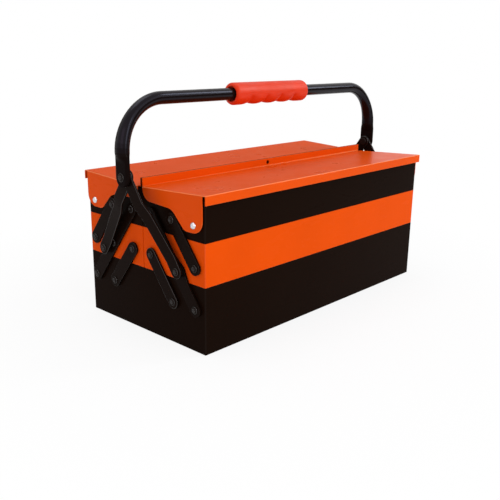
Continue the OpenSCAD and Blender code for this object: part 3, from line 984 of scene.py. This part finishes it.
def even_world(strength):
    """White to look at, and an even light of that strength on what is matt."""
    world = bpy.data.worlds.new("studio")
    bpy.context.scene.world = world
    world.use_nodes = True
    tree = world.node_tree
    tree.nodes.clear()
    sky = mix_shaders(tree, direct_look(tree), plain_sky(tree, strength), plain_sky(tree, 1))
    out = tree.nodes.new("ShaderNodeOutputWorld")
    tree.links.new(sky, out.inputs["Surface"])


def floor_finish():
    """Matt white floor that keeps the shadow near the box and is plain white far off."""
    material = bpy.data.materials.new("studio_floor")
    material.use_nodes = True
    tree = material.node_tree
    tree.nodes.clear()
    matt = tree.nodes.new("ShaderNodeBsdfDiffuse")
    matt.inputs["Color"].default_value = (*FLOOR_GREY, 1)
    glow = tree.nodes.new("ShaderNodeEmission")
    glow.inputs["Strength"].default_value = 1
    place = tree.nodes.new("ShaderNodeTexCoord")
    reach = tree.nodes.new("ShaderNodeVectorMath")
    reach.operation = "LENGTH"
    tree.links.new(place.outputs["Object"], reach.inputs[0])
    fade = tree.nodes.new("ShaderNodeMapRange")
    fade.inputs["From Min"].default_value, fade.inputs["From Max"].default_value = FLOOR_FADE
    fade.inputs["To Min"].default_value, fade.inputs["To Max"].default_value = FLOOR_WHITENESS
    tree.links.new(reach.outputs["Value"], fade.inputs["Value"])
    seen = mix_shaders(tree, fade.outputs["Result"], matt.outputs["BSDF"], glow.outputs["Emission"])
    floor = mix_shaders(tree, direct_look(tree), matt.outputs["BSDF"], seen)
    out = tree.nodes.new("ShaderNodeOutputMaterial")
    tree.links.new(floor, out.inputs["Surface"])
    return material


class TOOLBOX_OT_stage(bpy.types.Operator):
    """Set the floor, the lamps and the camera"""

    bl_idname = "tool_box.stage"
    bl_label = "Stage"

    def execute(self, context):
        stage = context.scene.tool_box_stage
        context.scene.view_settings.view_transform = "Standard"
        even_world(stage.daylight)
        deselect_all()
        bpy.ops.mesh.primitive_plane_add(size=FLOOR_SIZE, location=(0, 0, GROUND_Z - FLOOR_GAP))
        floor = context.object
        floor.name = "studio_floor_sheet"
        floor.data.materials.append(floor_finish())
        for lamp in LAMPS:
            area_lamp(*lamp)
        for card in CARDS:
            reflection_card(*card)
        camera_data = bpy.data.cameras.new("camera")
        camera_data.lens = stage.lens
        camera_data.sensor_width = SENSOR_WIDTH
        camera = bpy.data.objects.new("camera", camera_data)
        turned = (
            Matrix.Rotation(stage.heading, 4, "Z")
            @ Matrix.Rotation(QUARTER_TURN - stage.tilt, 4, "X")
            @ Matrix.Rotation(stage.roll, 4, "Z")
        )
        camera.matrix_world = Matrix.Translation(stage.camera_place) @ turned
        context.scene.collection.objects.link(camera)
        context.scene.camera = camera
        return {"FINISHED"}


# ---------------------------------------------------------------- add-on

class TOOLBOX_PT_panel(bpy.types.Panel):
    """Steps and sizes of the tool box"""

    bl_idname = "TOOLBOX_PT_panel"
    bl_label = "Tool Box"
    bl_space_type = "VIEW_3D"
    bl_region_type = "UI"
    bl_category = "Tool Box"

    def draw(self, context):
        for step in STEPS:
            self.layout.operator(step.bl_idname)
        for name, group in GROUPS.items():
            settings = getattr(context.scene, name)
            column = self.layout.column(align=True)
            for setting in group.__annotations__:
                column.prop(settings, setting)


STEPS = (
    TOOLBOX_OT_stage, TOOLBOX_OT_trays, TOOLBOX_OT_lids, TOOLBOX_OT_links, TOOLBOX_OT_rivets,
    TOOLBOX_OT_handle, TOOLBOX_OT_grip,
)
GROUPS = {
    "tool_box_paint": ToolBoxPaint,
    "tool_box_folds": ToolBoxFolds,
    "tool_box_handle": ToolBoxHandle,
    "tool_box_grip": ToolBoxGrip,
    "tool_box_stage": ToolBoxStage,
}


def register():
    for item in (*GROUPS.values(), *STEPS, TOOLBOX_PT_panel):
        bpy.utils.register_class(item)
    for name, group in GROUPS.items():
        setattr(bpy.types.Scene, name, PointerProperty(type=group))


def unregister():
    for name in GROUPS:
        delattr(bpy.types.Scene, name)
    for item in reversed((*GROUPS.values(), *STEPS, TOOLBOX_PT_panel)):
        bpy.utils.unregister_class(item)


def main():
    register()
    bpy.ops.tool_box.stage()
    bpy.ops.tool_box.trays()
    bpy.ops.tool_box.lids()
    bpy.ops.tool_box.links()
    bpy.ops.tool_box.rivets()
    bpy.ops.tool_box.handle()
    bpy.ops.tool_box.grip()


if __name__ == "__main__":
    main()
